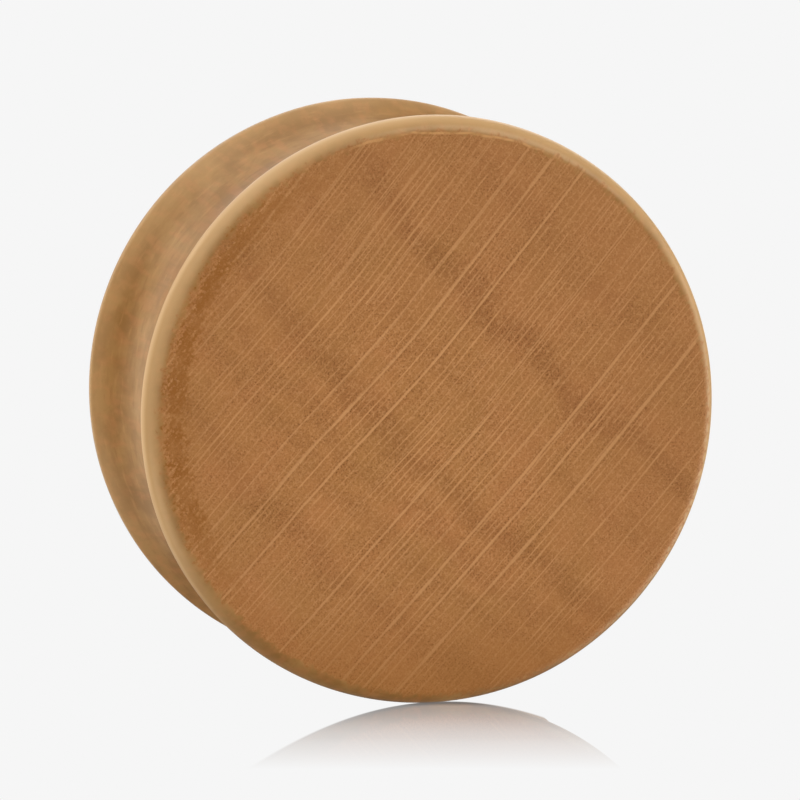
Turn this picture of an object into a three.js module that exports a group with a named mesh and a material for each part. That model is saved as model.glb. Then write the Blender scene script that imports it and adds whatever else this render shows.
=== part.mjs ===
// A one-piece double-flared saddle plug, turned from solid wood: two flat end faces, a rounded rim
// round each of them, and a shallow concave saddle between the rims, where the ear lobe sits.
//
// Millimetres, +Z up. The plug stands on its rims, with its axis along Y and its front face towards
// -Y. The origin is the centre of the plug. Being turned in one piece, it is one solid of revolution,
// so its whole shape is one profile of radius against Y.
import * as THREE from 'three';

// Driving dimensions.
const WAIST_RADIUS = 12.5; // the saddle at its narrowest, a 25 mm gauge
const FLARE_HEIGHT = 1.5; // how far each rim stands out past the waist, all round
const CREST_SPACING = 11.2; // from one rim's widest line to the other's, along the axis
const ROUND_OVER_DEPTH = 0.75; // how far the rounding reaches in over each face
const ROUND_OVER_LENGTH = 1; // how far the rounding runs along the axis, from crest to face
const CREST_RADIUS = 0.3; // the eased edge where a rim turns into the saddle

// How finely the curves are divided.
const SEGMENTS = 96; // flats round the axis
const ROUND_OVER_STEPS = 5;
const CREST_STEPS = 2;
const SADDLE_STEPS = 6; // from a crest to the waist

// Boxwood, oiled to a satin sheen.
const WOOD_COLOUR = 0xa9764a;
const WOOD_ROUGHNESS = 0.5;

const flareRadius = WAIST_RADIUS + FLARE_HEIGHT;
const crestY = CREST_SPACING / 2;
const faceY = crestY + ROUND_OVER_LENGTH;

// The saddle is one arc that touches the waist and runs on smoothly from each crest's own small arc.
// Both tangencies together fix its radius, and then the slope at which the two arcs meet.
const saddleRadius =
  (crestY ** 2 + FLARE_HEIGHT ** 2 - 2 * CREST_RADIUS * FLARE_HEIGHT) / (2 * FLARE_HEIGHT);
const saddleSlope = Math.asin(crestY / (saddleRadius + CREST_RADIUS));

// The front half of the profile, from the middle of the front face out over the rim to the waist.
// x is the radius, and y is the place along the plug's axis.
function frontHalfOfProfile() {
  const faceEdgeRadius = flareRadius - ROUND_OVER_DEPTH;
  const roundOver = new THREE.EllipseCurve(
    faceEdgeRadius,
    -crestY,
    ROUND_OVER_DEPTH,
    ROUND_OVER_LENGTH,
    -Math.PI / 2,
    0,
  );
  const crest = new THREE.EllipseCurve(
    flareRadius - CREST_RADIUS,
    -crestY,
    CREST_RADIUS,
    CREST_RADIUS,
    0,
    saddleSlope,
  );
  const saddle = new THREE.EllipseCurve(
    WAIST_RADIUS + saddleRadius,
    0,
    saddleRadius,
    saddleRadius,
    Math.PI + saddleSlope,
    Math.PI,
    true,
  );
  return [
    new THREE.Vector2(0, -faceY),
    ...roundOver.getPoints(ROUND_OVER_STEPS),
    ...crest.getPoints(CREST_STEPS).slice(1),
    ...saddle.getPoints(SADDLE_STEPS).slice(1),
  ];
}

// The whole profile: the front half, then the same points mirrored for the back.
function wholeProfile() {
  const front = frontHalfOfProfile();
  const back = front
    .slice(0, -1)
    .reverse()
    .map((point) => new THREE.Vector2(point.x, -point.y));
  return [...front, ...back];
}

// The turned body. Starting half a segment round puts a flat, and not a corner, under the rims.
function makePlugBody() {
  const geometry = new THREE.LatheGeometry(wholeProfile(), SEGMENTS, Math.PI / SEGMENTS);
  const wood = new THREE.MeshStandardMaterial({
    color: WOOD_COLOUR,
    roughness: WOOD_ROUGHNESS,
    metalness: 0,
  });
  const mesh = new THREE.Mesh(geometry, wood);
  mesh.name = 'plug_body';
  return mesh;
}

const group = new THREE.Group();
group.add(makePlugBody());

export default group;
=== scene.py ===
"""A saddle ear plug turned from one piece of hardwood, standing on its rims on a pale polished table."""

import logging
import math
from dataclasses import dataclass
from enum import Enum

import bpy
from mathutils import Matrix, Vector


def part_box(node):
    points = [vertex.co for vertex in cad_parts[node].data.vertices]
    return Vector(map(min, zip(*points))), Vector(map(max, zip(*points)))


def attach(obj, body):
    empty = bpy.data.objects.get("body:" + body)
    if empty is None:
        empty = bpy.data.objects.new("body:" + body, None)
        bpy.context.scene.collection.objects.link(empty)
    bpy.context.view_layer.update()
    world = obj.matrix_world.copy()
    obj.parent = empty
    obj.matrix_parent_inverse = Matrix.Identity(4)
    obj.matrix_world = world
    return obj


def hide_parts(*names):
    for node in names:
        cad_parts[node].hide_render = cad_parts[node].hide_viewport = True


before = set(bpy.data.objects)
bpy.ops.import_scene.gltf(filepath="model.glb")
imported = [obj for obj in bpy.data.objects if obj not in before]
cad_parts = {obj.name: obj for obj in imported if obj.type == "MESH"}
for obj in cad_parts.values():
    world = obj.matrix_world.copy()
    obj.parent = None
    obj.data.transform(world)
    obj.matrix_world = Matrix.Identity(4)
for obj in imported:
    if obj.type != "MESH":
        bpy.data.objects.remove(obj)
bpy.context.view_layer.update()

MM = 0.001
CAD_SEGMENTS = 96
NOISE_LOW, NOISE_HIGH = 0.3, 0.7
log = logging.getLogger("saddle_plug")

Number = float | bpy.types.NodeSocket
Colour = tuple[float, float, float]


class Stretch(Enum):
    """How a pattern lies in the wood: how far it is drawn out along each of its axes."""

    EVEN = (1.0, 1.0, 1.0)
    ALONG_GRAIN = (1.0, 0.04, 1.0)
    ALONG_RAYS = (1.0, 0.35, 0.22)
    ROUND = (0.32, 1.0, 1.0)


class Ease(Enum):
    """How a value passes from one end of a span to the other."""

    STRAIGHT = "LINEAR"
    SOFT = "SMOOTHSTEP"


@dataclass(frozen=True)
class Station:
    """One ring of the turned profile: its radius, and its place along the plug's axis."""

    radius: float
    y: float


@dataclass(frozen=True)
class Ray:
    """A broad medullary ray, seen on the end grain as a pale line. Lengths are in millimetres.

    Attributes:
        offset: Where it runs, across the rays.
        width: How wide it is.
        strength: How pale it is, from 0 to 1.
        start: Where along the rays it fades in.
        end: Where along the rays it fades out.
    """

    offset: float
    width: float
    strength: float
    start: float = -20.0
    end: float = 20.0


@dataclass(frozen=True)
class Ring:
    """The dark late wood of one year. Lengths are in millimetres.

    Attributes:
        offset: Where it runs, along the rays.
        width: How wide it is.
        strength: How dark it is, from 0 to 1.
    """

    offset: float
    width: float
    strength: float


class Tree:
    """Short names for the nodes of one material or node group."""

    def __init__(self, tree: bpy.types.NodeTree) -> None:
        """Takes the tree that the nodes go into."""
        self.tree = tree

    def node(self, kind: str, **settings: object) -> bpy.types.Node:
        """Adds a node.

        Args:
            kind: The node's type.
            settings: Properties of the node, by name.

        Returns:
            The node.
        """
        made = self.tree.nodes.new(kind)
        for name, value in settings.items():
            setattr(made, name, value)
        return made

    def feed(self, socket: bpy.types.NodeSocket, value: object) -> None:
        """Links a socket to another one, or gives it a plain value.

        Args:
            socket: The input to feed.
            value: An output socket, a number or a vector.
        """
        if isinstance(value, bpy.types.NodeSocket):
            self.tree.links.new(value, socket)
        else:
            socket.default_value = value

    def math(self, operation: str, *values: Number) -> bpy.types.NodeSocket:
        """Adds one step of arithmetic.

        Args:
            operation: The Math node's operation.
            values: Its inputs, in order.

        Returns:
            The result.
        """
        made = self.node("ShaderNodeMath", operation=operation)
        for socket, value in zip(made.inputs, values):
            self.feed(socket, value)
        return made.outputs[0]

    def scaled(self, vector: bpy.types.NodeSocket, factor: float) -> bpy.types.NodeSocket:
        """Scales a vector evenly.

        Args:
            vector: The vector.
            factor: How much longer it gets.

        Returns:
            The scaled vector.
        """
        made = self.node("ShaderNodeVectorMath", operation="SCALE")
        self.feed(made.inputs[0], vector)
        made.inputs["Scale"].default_value = factor
        return made.outputs[0]

    def product(self, *values: Number) -> bpy.types.NodeSocket:
        """Multiplies several values.

        Args:
            values: Two values or more.

        Returns:
            Their product.
        """
        result = values[0]
        for value in values[1:]:
            result = self.math("MULTIPLY", result, value)
        return result

    def away(self, value: Number, middle: Number) -> bpy.types.NodeSocket:
        """Measures how far a value is from another one.

        Args:
            value: The value.
            middle: The one it is compared with.

        Returns:
            Their distance, never below zero.
        """
        return self.math("ABSOLUTE", self.math("SUBTRACT", value, middle))

    def hypotenuse(self, first: Number, second: Number) -> bpy.types.NodeSocket:
        """Adds two lengths at a right angle.

        Args:
            first: The one length.
            second: The other length.

        Returns:
            The length across them.
        """
        squares = (self.math("MULTIPLY", length, length) for length in (first, second))
        return self.math("SQRT", self.total(*squares))

    def total(self, *values: Number) -> bpy.types.NodeSocket:
        """Adds several values up.

        Args:
            values: Two values or more.

        Returns:
            Their sum.
        """
        result = values[0]
        for value in values[1:]:
            result = self.math("ADD", result, value)
        return result

    def span(
        self, value: Number, start: Number, end: Number, low: Number, high: Number, ease: Ease = Ease.SOFT
    ) -> bpy.types.NodeSocket:
        """Maps a span of a value onto another span, and holds its ends.

        Args:
            value: The value to map.
            start: Where the span starts.
            end: Where the span ends.
            low: The result at the start.
            high: The result at the end.
            ease: How it passes between them.

        Returns:
            The mapped value.
        """
        made = self.node("ShaderNodeMapRange", interpolation_type=ease.value, clamp=True)
        for socket, item in zip(made.inputs[:5], (value, start, end, low, high)):
            self.feed(socket, item)
        return made.outputs[0]

    def place(self, x: Number, y: Number, z: Number) -> bpy.types.NodeSocket:
        """Joins three values into a vector.

        Args:
            x: The first value.
            y: The second value.
            z: The third value.

        Returns:
            The vector.
        """
        made = self.node("ShaderNodeCombineXYZ")
        for socket, value in zip(made.inputs, (x, y, z)):
            self.feed(socket, value)
        return made.outputs[0]

    def parts(self, vector: bpy.types.NodeSocket) -> tuple[bpy.types.NodeSocket, ...]:
        """Splits a vector.

        Args:
            vector: The vector to split.

        Returns:
            Its three values.
        """
        made = self.node("ShaderNodeSeparateXYZ")
        self.feed(made.inputs[0], vector)
        return tuple(made.outputs)

    def drawn(
        self, vector: bpy.types.NodeSocket, size: float, stretch: Stretch, shift: float = 0.0
    ) -> bpy.types.NodeSocket:
        """Scales a place for a pattern of a given size.

        Args:
            vector: The place, in millimetres.
            size: The size of the pattern's features, in millimetres.
            stretch: How they are drawn out.
            shift: Slides the pattern to another part of itself.

        Returns:
            The place in the pattern.
        """
        made = self.node("ShaderNodeMapping")
        self.feed(made.inputs["Vector"], vector)
        made.inputs["Scale"].default_value = tuple(s / size for s in stretch.value)
        made.inputs["Location"].default_value = (shift, shift / 2, -shift)
        return made.outputs[0]

    def noise(
        self,
        vector: bpy.types.NodeSocket,
        size: float,
        stretch: Stretch = Stretch.EVEN,
        detail: float = 2.0,
        shift: float = 0.0,
    ) -> bpy.types.NodeSocket:
        """Adds soft cloudy variation.

        Args:
            vector: The place, in millimetres.
            size: The size of the clouds, in millimetres.
            stretch: How they are drawn out.
            detail: How many finer layers they have.
            shift: Slides the pattern to another part of itself.

        Returns:
            A value around one half.
        """
        made = self.node("ShaderNodeTexNoise")
        self.feed(made.inputs["Vector"], self.drawn(vector, size, stretch, shift))
        made.inputs["Scale"].default_value = 1.0
        made.inputs["Detail"].default_value = detail
        return made.outputs[0]

    def swing(
        self,
        vector: bpy.types.NodeSocket,
        size: float,
        amount: float,
        detail: float = 2.0,
        shift: float = 0.0,
    ) -> bpy.types.NodeSocket:
        """Adds soft variation around zero.

        Args:
            vector: The place, in millimetres.
            size: The size of the clouds, in millimetres.
            amount: How far it swings to each side.
            detail: How many finer layers the clouds have.
            shift: Slides the pattern to another part of itself.

        Returns:
            A value from minus the amount to the amount.
        """
        clouds = self.noise(vector, size, Stretch.EVEN, detail, shift)
        return self.span(clouds, NOISE_LOW, NOISE_HIGH, -amount, amount, Ease.STRAIGHT)

    def blend(self, share: Number, first: object, second: object) -> bpy.types.NodeSocket:
        """Mixes two colours.

        Args:
            share: How much of the second one there is.
            first: The first colour.
            second: The second colour.

        Returns:
            The mixed colour.
        """
        made = self.node("ShaderNodeMix", data_type="RGBA")
        self.feed(made.inputs[0], share)
        for socket, value in ((made.inputs[6], first), (made.inputs[7], second)):
            self.feed(socket, (*value, 1.0) if isinstance(value, tuple) else value)
        return made.outputs[2]


def new_group(
    name: str, inputs: dict[str, str], outputs: dict[str, str]
) -> tuple[bpy.types.NodeTree, bpy.types.Node, bpy.types.Node]:
    """Makes an empty shader node group with named sockets.

    Args:
        name: The group's name.
        inputs: Its inputs' socket types, by name.
        outputs: Its outputs' socket types, by name.

    Returns:
        The group, its input node and its output node.
    """
    group = bpy.data.node_groups.new(name, "ShaderNodeTree")
    for way, sockets in (("INPUT", inputs), ("OUTPUT", outputs)):
        for socket, kind in sockets.items():
            group.interface.new_socket(socket, in_out=way, socket_type=kind)
    return group, group.nodes.new("NodeGroupInput"), group.nodes.new("NodeGroupOutput")


@dataclass(frozen=True)
class Growth:
    """How the wood grew: where its pith lies, and how its rays and rings bend. Lengths are in millimetres.

    Attributes:
        pith_distance: How far the pith is from the plug's middle.
        pith_angle: Its direction, in degrees below the left.
        bow: The rays' bend, as factors of along, across times along, along squared, across times along
            squared, and along cubed.
        step_along: Where along the rays they step aside.
        step_wide: Where across the rays the step grows, and its sizes at those two places.
        step_narrow: Where across the rays it shrinks again, and by how much.
        waver: How far the rays waver.
        waver_size: How long their waves are.
        cup: How much the rings are cupped.
        cup_middle: Where across the rays the cup lies.
        drift: How far the rings drift.
        drift_size: How long their waves are.
    """

    pith_distance: float = 130.0
    pith_angle: float = 49.5
    bow: tuple[float, float, float, float, float] = (0.0064, -0.0054, -0.0015, 0.00002, 0.00003)
    step_along: tuple[float, float] = (3.0, -6.8)
    step_wide: tuple[float, float, float, float] = (5.25, -9.3, 0.15, 0.81)
    step_narrow: tuple[float, float, float, float] = (-3.2, -9.3, 0.0, -0.44)
    waver: float = 0.1
    waver_size: float = 2.6
    cup: float = 0.0114
    cup_middle: float = 3.5
    drift: float = 0.5
    drift_size: float = 3.4

    def lines(self) -> bpy.types.NodeTree:
        """Makes the group that finds where a point lies: across the rays, along them, and along the rings.

        Returns:
            The group. Its lengths are in millimetres.
        """
        angle = math.radians(self.pith_angle)
        group, start, end = new_group(
            "grown_lines",
            {"Place": "NodeSocketVector"},
            {"Across": "NodeSocketFloat", "Along": "NodeSocketFloat", "Ring": "NodeSocketFloat"},
        )
        t = Tree(group)
        x, y, z = t.parts(start.outputs[0])
        from_pith = t.math("ADD", x, self.pith_distance * math.cos(angle))
        up_pith = t.math("ADD", z, self.pith_distance * math.sin(angle))
        along = t.math("SUBTRACT", t.hypotenuse(from_pith, up_pith), self.pith_distance)
        turn = t.math("SUBTRACT", angle, t.math("ARCTAN2", up_pith, from_pith))
        across = t.math("MULTIPLY", turn, self.pith_distance)
        square = t.math("MULTIPLY", along, along)
        powers = (along, t.product(across, along), square, t.product(across, square), t.product(along, square))
        bow = t.total(*(t.math("MULTIPLY", power, factor) for power, factor in zip(powers, self.bow)))
        step = t.span(along, *self.step_along, 0.0, 1.0)
        size = t.total(
            t.span(across, *self.step_wide, Ease.STRAIGHT), t.span(across, *self.step_narrow, Ease.STRAIGHT)
        )
        flat = t.place(across, along, y)
        wander = t.math("SUBTRACT", t.noise(flat, self.waver_size, Stretch.EVEN, 1.0), 0.5)
        straight = t.total(
            across, t.math("MULTIPLY", bow, -1.0), t.product(step, size), t.math("MULTIPLY", wander, self.waver)
        )
        aside = t.math("SUBTRACT", straight, self.cup_middle)
        cup = t.product(aside, aside, -self.cup)
        ring = t.total(along, cup, t.swing(flat, self.drift_size, self.drift, 2.0, 7.0))
        for socket, value in zip(end.inputs, (straight, along, ring)):
            t.feed(socket, value)
        return group


def one_line() -> bpy.types.NodeTree:
    """Makes the group for one line in the wood, with a soft border on both sides.

    Returns:
        The group. Its lengths are in millimetres.
    """
    group, start, end = new_group(
        "one_line",
        {
            name: "NodeSocketFloat"
            for name in ("Across", "Along", "Uneven", "Offset", "Width", "Strength", "From", "To")
        },
        {"Line": "NodeSocketFloat", "Border": "NodeSocketFloat"},
    )
    fade = 1.6
    t = Tree(group)
    across, along, uneven, offset, width, strength, first, last = start.outputs[:8]
    off = t.away(across, offset)
    half = t.math("MULTIPLY", width, t.span(uneven, NOISE_LOW, NOISE_HIGH, 0.34, 0.58, Ease.STRAIGHT))
    core = t.span(off, t.math("MULTIPLY", half, 0.35), t.math("MULTIPLY", half, 1.15), 1.0, 0.0)
    opened = t.span(along, first, t.math("ADD", first, fade), 0.0, 1.0)
    closed = t.span(along, t.math("SUBTRACT", last, fade), last, 1.0, 0.0)
    there = t.product(opened, closed, strength)
    lively = t.math("MULTIPLY", there, t.span(uneven, NOISE_LOW, NOISE_HIGH, 0.8, 1.1, Ease.STRAIGHT))
    border = t.span(off, half, t.math("MULTIPLY", half, 3.4), 1.0, 0.0)
    t.feed(end.inputs[0], t.math("MULTIPLY", core, lively))
    t.feed(end.inputs[1], t.math("MULTIPLY", border, there))
    return group


@dataclass(frozen=True)
class OiledWood:
    """Oiled, finely pored hardwood, cut across the grain on the plug's faces. Lengths are in millimetres.

    Attributes:
        flare: The radius of the rims.
        face_edge: The radius of the flat faces.
        crest: How far the rims' crests are from the middle.
        polish: The strength of the wood's highlights.
        late_share: How dark the late wood is.
        border_share: How dark the wood beside a broad ray is.
        pore_share: How dark the pores are.
        fine_share: How pale the fine rays are.
        broad_share: How pale the broad rays are.
        crumb_share: How pale the crumbs between the pores are.
        outer_share: How far the wood darkens away from the pith.
        crest_wear_and_light_share: How pale the crests of the rims get, partly rubbed wood and partly painted
            light.
        crest_highlight_share: How strong the painted highlight along the very edge of a crest is.
        edge_shade_share: How dark the painted shade is in the ragged fringe just inside the left of the rim.
        side_gloss: The roughness of the side grain.
        face_gloss: The roughness of the faces.
        pore_gloss: How much rougher the pores are.
        ray_spacing: How far apart the fine rays are.
        ray_depth: How deep a fine ray goes along the grain.
        bump: The strength of the relief.
        relief: The height of the relief.
    """

    flare: float
    face_edge: float
    crest: float
    ground: Colour = (0.408, 0.178, 0.0555)
    russet: Colour = (0.458, 0.182, 0.064)
    olive: Colour = (0.366, 0.170, 0.049)
    outer: Colour = (0.318, 0.134, 0.042)
    pale: Colour = (0.590, 0.300, 0.120)
    pore: Colour = (0.165, 0.052, 0.009)
    side: Colour = (0.332, 0.173, 0.054)
    side_dark: Colour = (0.240, 0.112, 0.029)
    # Painted shade: the dark brown laid on the fringe inside the left of the rim and on the lower part of the
    # faces.
    painted_shade_brown: Colour = (0.265, 0.097, 0.016)
    # Pale turning marks on the side grain, and the painted highlight line at the top of the front face.
    wear_and_highlight: Colour = (0.500, 0.255, 0.095)
    # Pale crests: rubbed paler wood, with painted light that fades towards the bottom.
    pale_crest_wear_and_light: Colour = (0.570, 0.360, 0.170)
    # Painted highlight: the palest line along the very edge of the crests.
    painted_crest_highlight: Colour = (0.720, 0.500, 0.290)
    sheen: Colour = (1.0, 0.87, 0.68)
    polish: float = 0.32
    late_share: float = 0.32
    border_share: float = 0.16
    pore_share: float = 0.72
    fine_share: float = 0.75
    broad_share: float = 0.72
    crumb_share: float = 0.34
    outer_share: float = 0.40
    crest_wear_and_light_share: float = 0.9
    crest_highlight_share: float = 0.25
    edge_shade_share: float = 0.95
    side_gloss: float = 0.34
    face_gloss: float = 0.50
    pore_gloss: float = 0.18
    ray_spacing: float = 0.28
    ray_depth: float = 1.1
    bump: float = 0.35
    relief: float = 0.012
    rays: tuple[Ray, ...] = (
        Ray(-12.25, 0.16, 0.70),
        Ray(-10.74, 0.13, 0.75),
        Ray(-9.06, 0.12, 0.60),
        Ray(-8.48, 0.10, 0.55, 2.0),
        Ray(-7.88, 0.12, 0.62, -20.0, 5.0),
        Ray(-7.14, 0.09, 0.45, 3.0),
        Ray(-5.98, 0.11, 0.55, 1.0),
        Ray(-4.42, 0.14, 0.85),
        Ray(-3.21, 0.15, 0.95),
        Ray(-2.55, 0.08, 0.45, 4.0),
        Ray(-1.69, 0.15, 1.00),
        Ray(0.27, 0.10, 0.45),
        Ray(1.64, 0.11, 0.75, 0.5),
        Ray(2.09, 0.16, 1.00, -20.0, 3.0),
        Ray(2.70, 0.09, 0.45),
        Ray(3.14, 0.12, 0.70, -20.0, 3.0),
        Ray(3.65, 0.10, 0.45),
        Ray(4.26, 0.12, 0.72, -20.0, 4.5),
        Ray(5.24, 0.19, 1.00),
        Ray(6.30, 0.15, 0.92, -20.0, 7.5),
        Ray(6.74, 0.10, 0.45, 3.0),
        Ray(7.72, 0.21, 1.05),
        Ray(8.50, 0.09, 0.35),
        Ray(9.35, 0.09, 0.30),
        Ray(11.25, 0.10, 0.38),
        Ray(12.80, 0.12, 0.45),
    )
    rings: tuple[Ring, ...] = (
        Ring(9.5, 0.9, 0.45),
        Ring(5.0, 1.1, 0.95),
        Ring(1.6, 0.8, 0.30),
        Ring(-2.4, 1.1, 0.90),
        Ring(-4.3, 0.9, 0.50),
        Ring(-5.9, 0.8, 0.45),
        Ring(-8.8, 1.1, 0.65),
    )

    def build(self) -> bpy.types.Material:
        """Makes the material.

        Returns:
            The material, on Object coordinates.
        """
        made = bpy.data.materials.new("oiled_wood")
        made.use_nodes = True
        t = Tree(made.node_tree)
        shader = made.node_tree.nodes["Principled BSDF"]
        place = t.scaled(t.node("ShaderNodeTexCoord").outputs["Object"], 1 / MM)
        x, y, z = t.parts(place)
        radius = t.hypotenuse(x, z)
        lines = t.node("ShaderNodeGroup", node_tree=Growth().lines())
        t.feed(lines.inputs[0], place)
        across, along, ring = lines.outputs[:3]
        grown = t.place(across, y, along)

        on_face = t.math("GREATER_THAN", t.math("ABSOLUTE", y), self.crest)
        end_grain = t.math("MULTIPLY", self.flat_face(t, place, x, z, radius), on_face)
        broad, border = self.broad_rays(t, across, along)
        fine = self.fine_rays(t, across, along, y)
        late = self.late_wood(t, ring)
        pores = t.math("MULTIPLY", self.pores(t, place, grown, late, border), end_grain)

        cut = self.cut_colour(t, place, grown, broad, border, fine, late, pores)
        cut = t.blend(t.span(radius, 3.0, 13.5, 0.0, 0.3), cut, self.outer)
        # Painted shade: the end grain of the faces darkens towards the bottom, near the table.
        cut = t.blend(t.span(z, -0.55 * self.flare, -self.flare, 0.0, 0.45), cut, self.painted_shade_brown)
        around = t.math("MULTIPLY", t.math("ARCTAN2", z, t.math("MULTIPLY", x, -1.0)), self.flare)
        turned = self.side_colour(t, place, grown, t.place(around, y, 0.0), late)
        turned = self.paint_crest_wear_and_light(t, turned, y, z, radius)
        colour = t.blend(end_grain, turned, cut)
        # Painted shade: a ragged darker brown fringe just inside the left of the rim, on the faces only.
        painted_edge_shade = t.math("MULTIPLY", self.painted_edge_shade(t, place, grown, x, z, radius), on_face)
        colour = t.blend(painted_edge_shade, colour, self.painted_shade_brown)
        # Painted highlight: a thin pale line where the front face meets the top of the rim.
        highlight_thread = t.math("MULTIPLY", self.painted_highlight_thread(t, place, x, y, z, radius), on_face)
        t.feed(shader.inputs["Base Color"], t.blend(highlight_thread, colour, self.wear_and_highlight))

        grit = t.span(pores, 0.0, 1.0, 0.0, self.pore_gloss, Ease.STRAIGHT)
        gloss = t.span(end_grain, 0.0, 1.0, self.side_gloss, self.face_gloss, Ease.STRAIGHT)
        t.feed(shader.inputs["Roughness"], t.total(gloss, grit, t.swing(place, 1.8, 0.04)))
        shader.inputs["Specular IOR Level"].default_value = self.polish
        shader.inputs["Specular Tint"].default_value = (*self.sheen, 1.0)

        height = t.total(
            t.math("MULTIPLY", broad, 0.35),
            t.math("MULTIPLY", fine, 0.2),
            t.math("MULTIPLY", pores, -0.8),
            t.math("MULTIPLY", t.noise(place, 0.35, Stretch.ALONG_GRAIN), 0.2),
        )
        bump = t.node("ShaderNodeBump")
        bump.inputs["Strength"].default_value = self.bump
        bump.inputs["Distance"].default_value = self.relief * MM
        t.feed(bump.inputs["Height"], height)
        t.feed(shader.inputs["Normal"], bump.outputs[0])
        return made

    def flat_face(
        self,
        t: Tree,
        place: bpy.types.NodeSocket,
        x: bpy.types.NodeSocket,
        z: bpy.types.NodeSocket,
        radius: bpy.types.NodeSocket,
    ) -> bpy.types.NodeSocket:
        """Finds the flat of the faces, with a ragged edge that lies further in at the lower right.

        Args:
            t: The material's nodes.
            place: The point.
            x: Its place to the right.
            z: Its height.
            radius: Its distance from the axis.

        Returns:
            The mask of the flat faces.
        """
        lean = t.math("DIVIDE", t.math("SUBTRACT", x, z), self.flare * math.sqrt(2))
        reach = t.total(radius, t.swing(place, 0.28, 0.24, 3.0), t.span(lean, 0.2, 1.0, 0.0, -0.38))
        return t.span(reach, self.face_edge - 0.12, self.face_edge + 0.22, 1.0, 0.0)

    def painted_edge_shade(
        self,
        t: Tree,
        place: bpy.types.NodeSocket,
        grown: bpy.types.NodeSocket,
        x: bpy.types.NodeSocket,
        z: bpy.types.NodeSocket,
        radius: bpy.types.NodeSocket,
    ) -> bpy.types.NodeSocket:
        """Finds the painted shade in a ragged darker brown fringe just inside the left of the rim, with tufts
        and crumbs.

        Args:
            t: The material's nodes.
            place: The point.
            grown: The point, across the rays, along the grain and along the rays.
            x: Its place to the right.
            z: Its height.
            radius: Its distance from the axis.

        Returns:
            The mask of the fringe.
        """
        left = t.span(t.math("MULTIPLY", x, -1.0), 0.2 * self.flare, 0.8 * self.flare, 0.0, 1.0)
        tufts = t.span(t.noise(grown, 0.2, Stretch.ALONG_RAYS, 2.0, 3.0), 0.35, 0.65, -0.22, 0.22)
        crumbs = t.span(t.noise(place, 0.14, Stretch.EVEN, 3.0, 13.0), 0.35, 0.65, -0.28, 0.28)
        fringe = t.total(radius, tufts, crumbs)
        inner = t.span(fringe, self.face_edge - 1.35, self.face_edge - 0.65, 0.0, self.edge_shade_share)
        outer = t.span(fringe, self.face_edge - 0.42, self.face_edge - 0.12, 1.0, 0.0)
        patchy = t.span(t.noise(place, 0.9, Stretch.EVEN, 3.0, 3.0), 0.35, 0.65, 0.6, 1.0)
        high = t.span(z, -0.8 * self.flare, -0.2 * self.flare, 0.1, 1.0)
        return t.product(inner, outer, left, patchy, high)

    def painted_highlight_thread(
        self,
        t: Tree,
        place: bpy.types.NodeSocket,
        x: bpy.types.NodeSocket,
        y: bpy.types.NodeSocket,
        z: bpy.types.NodeSocket,
        radius: bpy.types.NodeSocket,
    ) -> bpy.types.NodeSocket:
        """Finds the painted highlight: a thin pale line where the front face meets the top of the rim, as light
        caught on its crisp edge.

        Args:
            t: The material's nodes.
            place: The point.
            x: Its place to the right.
            y: Its place to the back.
            z: Its height.
            radius: Its distance from the axis.

        Returns:
            The mask of the line.
        """
        high = t.span(z, 0.8 * self.flare, 0.92 * self.flare, 0.0, 1.0)
        middle = t.span(t.away(x, 1.0), 4.2, 6.4, 1.0, 0.0)
        off = t.math("ABSOLUTE", t.total(radius, t.swing(place, 1.6, 0.08, 2.0, 5.0), -self.face_edge - 0.02))
        thread = t.span(off, 0.02, 0.09, 1.0, 0.0)
        broken = t.span(t.noise(place, 0.5, Stretch.EVEN, 2.0, 9.0), 0.35, 0.6, 0.25, 1.0)
        front = t.math("LESS_THAN", y, 0.0)
        return t.product(thread, broken, high, middle, front)

    def paint_crest_wear_and_light(
        self,
        t: Tree,
        turned: bpy.types.NodeSocket,
        y: bpy.types.NodeSocket,
        z: bpy.types.NodeSocket,
        radius: bpy.types.NodeSocket,
    ) -> bpy.types.NodeSocket:
        """Pales the rims' crests, most on the front one: the paling is rubbed wood, its fading towards the
        bottom is painted shade, and the palest line along the very edge is a painted highlight.

        Args:
            t: The material's nodes.
            turned: The colour of the side grain.
            y: The place to the back.
            z: The height.
            radius: The distance from the axis.

        Returns:
            The colour with the pale crests.
        """
        crest = t.span(radius, self.flare - 0.85, self.flare + 0.02, 0.0, self.crest_wear_and_light_share)
        near = t.span(y, -0.5, 0.5, 1.0, 0.45, Ease.STRAIGHT)
        # Painted shade: the paling fades towards the bottom of the rims.
        high = t.span(z, -0.95 * self.flare, -0.3 * self.flare, 0.05, 1.0)
        worn_and_lit = t.product(crest, high, near)
        # Painted highlight: a paler line along the very edge of the crest.
        edge = t.span(radius, self.flare - 0.13, self.flare - 0.03, 0.0, self.crest_highlight_share)
        pale = t.blend(worn_and_lit, turned, self.pale_crest_wear_and_light)
        return t.blend(t.math("MULTIPLY", edge, worn_and_lit), pale, self.painted_crest_highlight)

    def broad_rays(
        self, t: Tree, across: bpy.types.NodeSocket, along: bpy.types.NodeSocket
    ) -> tuple[bpy.types.NodeSocket, bpy.types.NodeSocket]:
        """Draws the broad rays, one by one.

        Args:
            t: The material's nodes.
            across: The place across the rays.
            along: The place along the rays.

        Returns:
            The mask of the rays, and that of the darker wood beside them.
        """
        group = one_line()
        uneven = t.noise(t.place(across, 0.0, along), 1.8, Stretch.EVEN, 2.0)
        lines: list[bpy.types.NodeSocket] = []
        borders: list[bpy.types.NodeSocket] = []
        for ray in self.rays:
            made = t.node("ShaderNodeGroup", node_tree=group)
            values = (across, along, uneven, ray.offset, ray.width, ray.strength, ray.start, ray.end)
            for socket, value in zip(made.inputs, values):
                t.feed(socket, value)
            lines.append(made.outputs[0])
            borders.append(made.outputs[1])
        return t.total(*lines), t.math("MINIMUM", t.total(*borders), 1.0)

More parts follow.
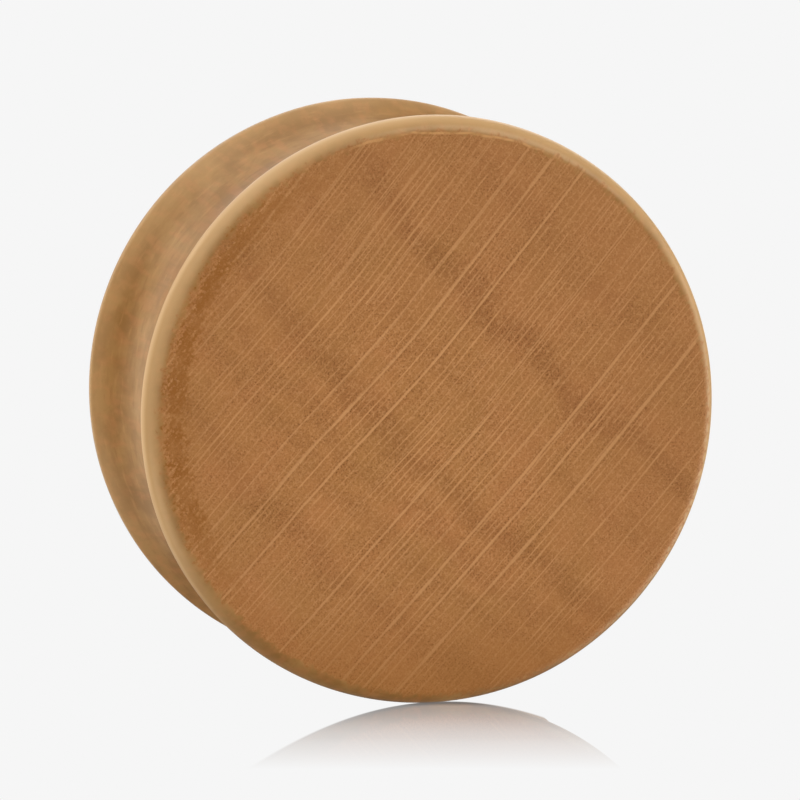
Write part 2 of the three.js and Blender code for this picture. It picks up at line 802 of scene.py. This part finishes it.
    def fine_rays(
        self,
        t: Tree,
        across: bpy.types.NodeSocket,
        along: bpy.types.NodeSocket,
        y: bpy.types.NodeSocket,
    ) -> bpy.types.NodeSocket:
        """Draws the hair-fine rays between the broad ones, each with its own strength.

        Args:
            t: The material's nodes.
            across: The place across the rays.
            along: The place along the rays.
            y: The place along the grain.

        Returns:
            The mask of the fine rays.
        """
        crowd = t.noise(t.place(across, 0.0, 0.0), 0.9, Stretch.EVEN, 1.0, 2.0)
        count = t.math("ADD", t.math("DIVIDE", across, self.ray_spacing), t.math("MULTIPLY", crowd, 2.4))
        index = t.math("FLOOR", count)
        off = t.away(t.math("SUBTRACT", count, index), 0.5)
        line = t.span(off, 0.05, 0.2, 1.0, 0.0)
        layer = t.math("FLOOR", t.math("DIVIDE", y, self.ray_depth))
        chance = t.node("ShaderNodeTexWhiteNoise", noise_dimensions="2D")
        t.feed(chance.inputs["Vector"], t.place(index, layer, 0.0))
        own = t.math("POWER", chance.outputs[0], 0.75)
        stretch = t.noise(t.place(t.math("MULTIPLY", index, 1.7), layer, t.math("DIVIDE", along, 3.2)), 1.0)
        patch = t.noise(t.place(across, y, along), 3.2, Stretch.EVEN, 1.0, 4.0)
        return t.product(line, own, t.span(stretch, 0.36, 0.6, 0.35, 1.0), t.span(patch, 0.32, 0.62, 0.7, 1.0))

    def late_wood(self, t: Tree, ring: bpy.types.NodeSocket) -> bpy.types.NodeSocket:
        """Draws the dark bands of late wood.

        Args:
            t: The material's nodes.
            ring: The place across the rings.

        Returns:
            The mask of the bands.
        """
        bands = []
        for year in self.rings:
            off = t.away(ring, year.offset)
            bands.append(t.span(off, 0.1 * year.width, year.width, year.strength, 0.0))
        return t.total(*bands)

    def pores(
        self,
        t: Tree,
        place: bpy.types.NodeSocket,
        grown: bpy.types.NodeSocket,
        late: bpy.types.NodeSocket,
        border: bpy.types.NodeSocket,
    ) -> bpy.types.NodeSocket:
        """Sprinkles the pores, denser in the late wood and beside the broad rays.

        Args:
            t: The material's nodes.
            place: The point.
            grown: The point, across the rays, along the grain and along the rays.
            late: The mask of the late wood.
            border: The mask of the wood beside the broad rays.

        Returns:
            The mask of the pores.
        """
        cell = t.node("ShaderNodeTexVoronoi")
        cell.inputs["Scale"].default_value = 1.0
        t.feed(cell.inputs["Vector"], t.drawn(place, 0.14, Stretch.ALONG_GRAIN))
        dot = t.span(cell.outputs["Distance"], 0.15, 0.42, 1.0, 0.0)
        speck = t.span(t.noise(place, 0.09, Stretch.ALONG_GRAIN, 2.0), 0.46, 0.62, 0.0, 1.0)
        crowd = t.noise(grown, 1.5, Stretch.EVEN, 3.0, 6.0)
        thick = t.span(crowd, NOISE_LOW, NOISE_HIGH, 0.32, 0.66)
        dense = t.total(thick, t.math("MULTIPLY", late, 0.14), t.math("MULTIPLY", border, 0.2))
        grain = t.math("ADD", t.math("MULTIPLY", dot, 0.75), speck)
        return t.math("MULTIPLY", grain, dense)

    def cut_colour(
        self,
        t: Tree,
        place: bpy.types.NodeSocket,
        grown: bpy.types.NodeSocket,
        broad: bpy.types.NodeSocket,
        border: bpy.types.NodeSocket,
        fine: bpy.types.NodeSocket,
        late: bpy.types.NodeSocket,
        pores: bpy.types.NodeSocket,
    ) -> bpy.types.NodeSocket:
        """Colours the end grain.

        Args:
            t: The material's nodes.
            place: The point.
            grown: The point, across the rays, along the grain and along the rays.
            broad: The mask of the broad rays.
            border: The mask of the wood beside them.
            fine: The mask of the fine rays.
            late: The mask of the late wood.
            pores: The mask of the pores.

        Returns:
            The colour.
        """
        warm = t.span(t.noise(grown, 3.6, Stretch.EVEN, 2.0, 1.0), 0.38, 0.66, 0.0, 0.5)
        cool = t.span(t.noise(grown, 2.4, Stretch.EVEN, 2.0, 8.0), 0.42, 0.7, 0.0, 0.55)
        base = t.blend(cool, t.blend(warm, self.ground, self.russet), self.olive)
        base = t.blend(t.span(t.parts(grown)[2], -4.0, 9.0, 0.0, self.outer_share), base, self.outer)
        for mask, share in ((late, self.late_share), (border, self.border_share), (pores, self.pore_share)):
            base = t.blend(t.math("MULTIPLY", mask, share), base, self.pore)
        base = t.blend(t.math("MULTIPLY", fine, self.fine_share), base, self.pale)
        crumb = t.noise(place, 0.11, Stretch.ALONG_GRAIN, 1.0, 12.0)
        base = t.blend(t.span(crumb, 0.52, 0.68, 0.0, self.crumb_share), base, self.pale)
        broad = t.math("MULTIPLY", t.math("MINIMUM", broad, 1.0), self.broad_share)
        return t.blend(broad, base, self.pale)

    def side_colour(
        self,
        t: Tree,
        place: bpy.types.NodeSocket,
        grown: bpy.types.NodeSocket,
        wrapped: bpy.types.NodeSocket,
        late: bpy.types.NodeSocket,
    ) -> bpy.types.NodeSocket:
        """Colours the smooth side grain of the saddle and the rounded rims.

        Args:
            t: The material's nodes.
            place: The point.
            grown: The point, across the rays, along the grain and along the rays.
            wrapped: The point, round the plug and along its axis.
            late: The mask of the late wood.

        Returns:
            The colour.
        """
        cloud = t.span(t.noise(grown, 1.8, Stretch.EVEN, 4.0, 2.0), 0.36, 0.64, 0.0, 0.9)
        streak = t.span(t.noise(place, 0.45, Stretch.ALONG_GRAIN, 3.0, 5.0), 0.42, 0.68, 0.0, 0.35)
        fleck = t.span(t.noise(grown, 0.3, Stretch.ALONG_RAYS, 2.0, 11.0), 0.54, 0.72, 0.0, 0.35)
        base = t.blend(cloud, self.side, self.side_dark)
        base = t.blend(streak, base, self.russet)
        base = t.blend(fleck, base, self.side_dark)
        turning = t.noise(wrapped, 0.42, Stretch.ROUND, 4.0, 4.0)
        base = t.blend(t.span(turning, 0.52, 0.70, 0.0, 0.60), base, self.side_dark)
        base = t.blend(t.span(turning, 0.46, 0.28, 0.0, 0.30), base, self.wear_and_highlight)
        return t.blend(t.math("MULTIPLY", late, 0.2), base, self.side_dark)


@dataclass
class TurnedPlug:
    """The plug's body. Lengths are in metres, and the axis is Y.

    Attributes:
        flare_radius: The radius of the rims.
        face_y: How far the faces are from the middle.
        waist_radius: The radius at the bottom of the saddle.
        crest_spacing: How far apart the rims' crests are.
        round_over_depth: How far the round-over comes in from the rim.
        crest_radius: How round the crests are.
        rings_round: How many sides the turned body has.
        face_steps: How many rings a face has.
        round_over_steps: How many rings a round-over has.
        crest_steps: How many rings the back of a crest has.
        saddle_steps: How many rings half of the saddle has.
        unevenness: How uneven the sanded surface is.
        unevenness_size: How long its waves are.
        name: What the body is called.
    """

    flare_radius: float
    face_y: float
    waist_radius: float = 12.5 * MM
    crest_spacing: float = 11.2 * MM
    round_over_depth: float = 0.75 * MM
    crest_radius: float = 0.6 * MM
    rings_round: int = 288
    face_steps: int = 8
    round_over_steps: int = 12
    crest_steps: int = 5
    saddle_steps: int = 18
    unevenness: float = 0.05 * MM
    unevenness_size: float = 9 * MM
    name: str = "turned_plug"

    def stations(self) -> list[Station]:
        """Works out the rings from the middle of the front face to the middle of the back one.

        Returns:
            The rings, in order along the profile.
        """
        crest_y = self.crest_spacing / 2
        face_radius = self.flare_radius - self.round_over_depth
        length = self.face_y - crest_y
        height = self.flare_radius - self.waist_radius
        saddle_radius = (crest_y**2 + height**2 - 2 * self.crest_radius * height) / (2 * height)
        slope = math.asin(crest_y / (saddle_radius + self.crest_radius))
        half = [
            Station(face_radius * k / self.face_steps, -self.face_y) for k in range(1, self.face_steps)
        ]
        for k in range(self.round_over_steps + 1):
            turn = math.pi / 2 * k / self.round_over_steps
            half.append(
                Station(
                    face_radius + self.round_over_depth * math.sin(turn),
                    -crest_y - length * math.cos(turn),
                )
            )
        for k in range(1, self.crest_steps + 1):
            turn = slope * k / self.crest_steps
            half.append(
                Station(
                    self.flare_radius - self.crest_radius * (1 - math.cos(turn)),
                    -crest_y + self.crest_radius * math.sin(turn),
                )
            )
        for k in range(1, self.saddle_steps + 1):
            turn = slope * (1 - k / self.saddle_steps)
            half.append(
                Station(
                    self.waist_radius + saddle_radius * (1 - math.cos(turn)),
                    -saddle_radius * math.sin(turn),
                )
            )
        return half + [Station(s.radius, -s.y) for s in reversed(half[:-1])]

    def build(self) -> bpy.types.Object:
        """Turns the body: a disc is extruded and resized from ring to ring, then made a little uneven.

        Returns:
            The finished body, with its place in its mesh.
        """
        rings = self.stations()
        bpy.ops.object.select_all(action="DESELECT")
        bpy.ops.mesh.primitive_circle_add(
            vertices=self.rings_round,
            radius=rings[0].radius,
            fill_type="TRIFAN",
            location=(0, rings[0].y, 0),
            rotation=(math.pi / 2, 0, 0),
        )
        body = bpy.context.object
        body.name = self.name
        bpy.ops.object.transform_apply(location=True, rotation=True, scale=True)
        bpy.ops.object.mode_set(mode="EDIT")
        bpy.ops.mesh.select_all(action="SELECT")
        for last, ring in zip(rings, rings[1:]):
            bpy.ops.mesh.extrude_region_move(TRANSFORM_OT_translate={"value": (0, ring.y - last.y, 0)})
            grow = ring.radius / last.radius
            bpy.ops.transform.resize(value=(grow, 1, grow), center_override=(0, ring.y, 0))
        bpy.ops.mesh.select_all(action="SELECT")
        bpy.ops.mesh.remove_doubles(threshold=0.001 * MM)
        bpy.ops.mesh.normals_make_consistent(inside=False)
        bpy.ops.object.mode_set(mode="OBJECT")
        self.work_by_hand(body)
        bpy.ops.object.shade_smooth()
        return body

    def work_by_hand(self, body: bpy.types.Object) -> None:
        """Gives the surface the faint unevenness that sanding by hand leaves.

        Args:
            body: The turned body.
        """
        clouds = bpy.data.textures.new("sanding", "CLOUDS")
        clouds.noise_scale = self.unevenness_size
        clouds.noise_depth = 1
        bpy.ops.object.modifier_add(type="DISPLACE")
        sanding = body.modifiers[-1]
        sanding.texture = clouds
        sanding.texture_coords = "LOCAL"
        sanding.strength = self.unevenness
        sanding.mid_level = 0.5
        bpy.ops.object.modifier_apply(modifier=sanding.name)

    def dress(self, body: bpy.types.Object) -> None:
        """Gives the body its wood, and ties it to the frame.

        Args:
            body: The turned body.
        """
        wood = OiledWood(
            flare=self.flare_radius / MM,
            face_edge=(self.flare_radius - self.round_over_depth) / MM,
            crest=self.crest_spacing / 2 / MM,
        )
        body.data.materials.append(wood.build())
        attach(body, "root")
        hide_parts("plug_body")


@dataclass(frozen=True)
class Lamp:
    """A soft box that points at the plug.

    Attributes:
        name: What it is called.
        azimuth: Where it stands, in degrees: 0 is in front, 90 to the right.
        elevation: How high it stands, in degrees.
        width: How wide it is, in metres.
        height: How tall it is, in metres.
        power: Its power in watts.
        tint: Its colour.
        distance: How far away it stands, in metres.
    """

    name: str
    azimuth: float
    elevation: float
    width: float
    height: float
    power: float
    tint: Colour = (1.0, 1.0, 1.0)
    distance: float = 0.6

    def hang(self, lit: bpy.types.Collection) -> None:
        """Hangs the lamp.

        Args:
            lit: The only things it lights, so that it doesn't show in the table's mirror.
        """
        place = heading(self.azimuth, self.elevation) * self.distance
        bpy.ops.object.light_add(type="AREA", location=place)
        made = bpy.context.object
        made.name = self.name
        made.rotation_mode = "QUATERNION"
        made.rotation_quaternion = place.to_track_quat("Z", "Y")
        made.data.shape = "RECTANGLE"
        made.data.size = self.width
        made.data.size_y = self.height
        made.data.energy = self.power
        made.data.color = self.tint
        made.visible_camera = False
        made.light_linking.receiver_collection = lit


def heading(azimuth: float, elevation: float) -> Vector:
    """Turns two angles into a direction away from the plug.

    Args:
        azimuth: In degrees: 0 is in front, 90 to the right.
        elevation: In degrees above the table.

    Returns:
        The direction, of length 1.
    """
    a, e = math.radians(azimuth), math.radians(elevation)
    return Vector((math.sin(a) * math.cos(e), -math.cos(a) * math.cos(e), math.sin(e)))


@dataclass
class Studio:
    """The table, the lamps and the camera. Lengths are in metres, and angles in degrees.

    Attributes:
        floor_z: The height of the table.
        contact_y: Where the front rim stands.
        azimuth: Where the camera stands: 0 is in front, and left is negative.
        elevation: How high the camera stands.
        distance: How far away the camera stands.
        lens: The camera's focal length, in millimetres.
        aim_right: How far right of the plug's middle it is aimed.
        aim_down: How far below the middle it is aimed.
        paper: How bright the table and the background are.
        mirror: How strongly the table mirrors the plug next to it.
        mirror_contact: How much more it does so right where the rim stands.
        mirror_tail: The part of the mirror that fades last.
        mirror_reach: How far in front of the plug the mirror ends.
        patch_lean: How far left the polished patch runs for its length.
        patch_spread: How fast the patch widens.
        card_size: The side of the card under the plug.
        card_gap: How far below the table the card lies.
        card_brown: The card's colour.
        room: The dim light all round.
        room_low: The light from below.
        room_back: The light from behind.
        lamps: The soft boxes.
    """

    floor_z: float
    contact_y: float
    azimuth: float = -16.11
    elevation: float = 7.92
    distance: float = 222.9 * MM
    lens: float = 207.4
    aim_right: float = 0.111 * MM
    aim_down: float = 0.227 * MM
    paper: float = 0.9216
    mirror: float = 0.74
    mirror_contact: float = 0.12
    mirror_tail: float = 0.30
    mirror_reach: float = 14.6 * MM
    patch_lean: float = 0.293
    patch_spread: float = 6.0 * MM
    card_size: float = 12 * MM
    card_gap: float = 0.1 * MM
    card_brown: Colour = (0.14, 0.07, 0.028)
    room: Colour = (0.04, 0.04, 0.04)
    room_low: Colour = (0.20, 0.20, 0.20)
    room_back: Colour = (0.75, 0.63, 0.48)
    lamps: tuple[Lamp, ...] = (
        Lamp("left_box", 275, 10, 0.4, 0.8, 0.80),
        Lamp("left_high", 290, 55, 0.5, 0.4, 1.02),
        Lamp("left_edge", 212, -4, 0.25, 0.8, 0.85, (1.0, 0.84, 0.60)),
        Lamp("left_edge_high", 224, 42, 0.3, 0.4, 0.68, (1.0, 0.86, 0.64)),
        Lamp("left_front", 318, 5, 0.35, 0.5, 0.68),
        Lamp("left_low", 275, -32, 0.5, 0.25, 1.45, (1.0, 0.88, 0.68)),
        Lamp("key_right", 35, 35, 0.45, 0.45, 3.15),
        Lamp("front_low", 350, -24, 0.5, 0.25, 0.20, (1.0, 0.82, 0.58)),
        Lamp("right_fill", 83, -6, 0.4, 0.6, 2.0),
        Lamp("right_low", 86, -38, 0.5, 0.3, 1.2, (1.0, 0.90, 0.72)),
        Lamp("back_high", 192, 56, 0.5, 0.4, 0.85, (1.0, 0.88, 0.70)),
        Lamp("back_low", 165, 22, 0.6, 0.2, 0.40),
    )

    def camera(self) -> None:
        """Sets the camera up at its angle, aimed a hair off the plug's centre."""
        back = heading(self.azimuth, self.elevation)
        turn = (-back).to_track_quat("-Z", "Y")
        right, up = turn @ Vector((1, 0, 0)), turn @ Vector((0, 1, 0))
        aim = right * self.aim_right - up * self.aim_down
        place = back * self.distance
        bpy.ops.object.camera_add(location=place)
        camera = bpy.context.object
        camera.rotation_mode = "QUATERNION"
        camera.rotation_quaternion = (aim - place).to_track_quat("-Z", "Y")
        camera.data.lens = self.lens
        camera.data.clip_start = 0.01
        camera.data.clip_end = 20
        bpy.context.scene.camera = camera

    def polished(self) -> bpy.types.Material:
        """Makes the table's finish: evenly lit white, with a mirror that fades in front of the plug.

        Returns:
            The material.
        """
        made = bpy.data.materials.new("polished_white")
        made.use_nodes = True
        t = Tree(made.node_tree)
        made.node_tree.nodes.clear()
        x, y = t.parts(t.node("ShaderNodeTexCoord").outputs["Object"])[:2]
        front = heading(self.azimuth, 0)
        ahead = t.math("ADD", t.math("MULTIPLY", x, front.x), t.math("MULTIPLY", y, front.y))
        start = self.contact_y * front.y
        reach = self.mirror_reach
        falling = t.total(
            t.span(ahead, start, start + 0.65 * reach, self.mirror - self.mirror_tail, 0.0),
            t.span(ahead, start + 0.55 * reach, start + reach, self.mirror_tail, 0.0, Ease.STRAIGHT),
            t.span(ahead, start + 0.3 * MM, start + 1.1 * MM, self.mirror_contact, 0.0),
        )
        opening = t.span(ahead, start - 0.6 * MM, start, 0.0, 1.0, Ease.STRAIGHT)
        picture = t.product(falling, opening, self.polished_patch(t, x, y))
        glow = t.node("ShaderNodeEmission")
        glow.inputs["Color"].default_value = (self.paper,) * 3 + (1,)
        gloss = t.node("ShaderNodeBsdfAnisotropic")
        gloss.inputs["Color"].default_value = (1, 1, 1, 1)
        gloss.inputs["Roughness"].default_value = 0.0
        mixed = t.node("ShaderNodeMixShader")
        t.feed(mixed.inputs[0], picture)
        t.feed(mixed.inputs[1], glow.outputs[0])
        t.feed(mixed.inputs[2], gloss.outputs[0])
        out = t.node("ShaderNodeOutputMaterial")
        t.feed(out.inputs[0], mixed.outputs[0])
        return made

    def polished_patch(
        self, t: Tree, x: bpy.types.NodeSocket, y: bpy.types.NodeSocket
    ) -> bpy.types.NodeSocket:
        """Finds the polished patch of the table: it starts where the near rim stands, and opens forwards.

        Args:
            t: The material's nodes.
            x: The place on the table to the right.
            y: The place on the table to the back.

        Returns:
            The mask of the patch.
        """
        depth = t.math("MAXIMUM", t.math("SUBTRACT", self.contact_y, y), 0.0)
        side = t.math("ABSOLUTE", t.math("ADD", x, t.math("MULTIPLY", depth, self.patch_lean)))
        half = t.math("SQRT", t.math("MULTIPLY", depth, self.patch_spread))
        return t.span(t.math("SUBTRACT", side, half), -0.05 * MM, 0.25 * MM, 1.0, 0.0)

    def table(self) -> None:
        """Lays the table."""
        bpy.ops.mesh.primitive_plane_add(size=20, location=(0, 0, self.floor_z))
        floor = bpy.context.object
        floor.name = "table"
        floor.data.materials.append(self.polished())
        floor.visible_diffuse = False
        floor.visible_glossy = False
        floor.visible_shadow = False

    def shade_card(self) -> bpy.types.Object:
        """Lays a small brown card under the plug that only the lamps see, for the shade where it stands.

        Returns:
            The card.
        """
        bpy.ops.mesh.primitive_plane_add(size=self.card_size, location=(0, 0, self.floor_z - self.card_gap))
        card = bpy.context.object
        card.name = "shade_card"
        bpy.ops.object.transform_apply(location=False, rotation=False, scale=True)
        made = bpy.data.materials.new("brown_card")
        made.use_nodes = True
        made.node_tree.nodes["Principled BSDF"].inputs["Base Color"].default_value = (*self.card_brown, 1.0)
        card.data.materials.append(made)
        card.visible_camera = False
        card.visible_glossy = False
        return card

    def room_light(self) -> None:
        """Fills the room with dim light, while the camera and the table's mirror see plain white."""
        world = bpy.data.worlds.new("room")
        bpy.context.scene.world = world
        world.use_nodes = True
        t = Tree(world.node_tree)
        base = world.node_tree.nodes["Background"]
        y, z = t.parts(t.node("ShaderNodeTexCoord").outputs["Generated"])[1:]
        shade = t.blend(t.span(z, -0.6, 0.1, 1.0, 0.0), self.room, self.room_low)
        back = t.product(t.span(y, 0.6, 0.9, 0.0, 1.0), t.span(z, -0.35, -0.1, 0.0, 1.0))
        shade = t.blend(back, shade, self.room_back)
        path = t.node("ShaderNodeLightPath")
        seen = t.math("MAXIMUM", path.outputs["Is Camera Ray"], path.outputs["Is Singular Ray"])
        t.feed(base.inputs["Color"], t.blend(seen, shade, (self.paper,) * 3))

    def light(self, *subjects: bpy.types.Object) -> None:
        """Lights the room and hangs every lamp.

        Args:
            subjects: The things that the lamps light.
        """
        self.room_light()
        lit = bpy.data.collections.new("lit")
        for subject in subjects:
            lit.objects.link(subject)
        for lamp in self.lamps:
            lamp.hang(lit)


def main() -> None:
    """Builds the plug and its studio."""
    bpy.context.scene.view_settings.view_transform = "Standard"
    low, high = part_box("plug_body")
    plug = TurnedPlug(flare_radius=high.z / math.cos(math.pi / CAD_SEGMENTS), face_y=high.y)
    body = plug.build()
    plug.dress(body)
    log.info("%s: %d faces", body.name, len(body.data.polygons))
    studio = Studio(floor_z=-plug.flare_radius, contact_y=-plug.crest_spacing / 2)
    studio.camera()
    studio.table()
    studio.light(body, studio.shade_card())
    log.info("studio: %d lamps", len(studio.lamps))


if __name__ == "__main__":
    logging.basicConfig(level=logging.INFO)
    main()
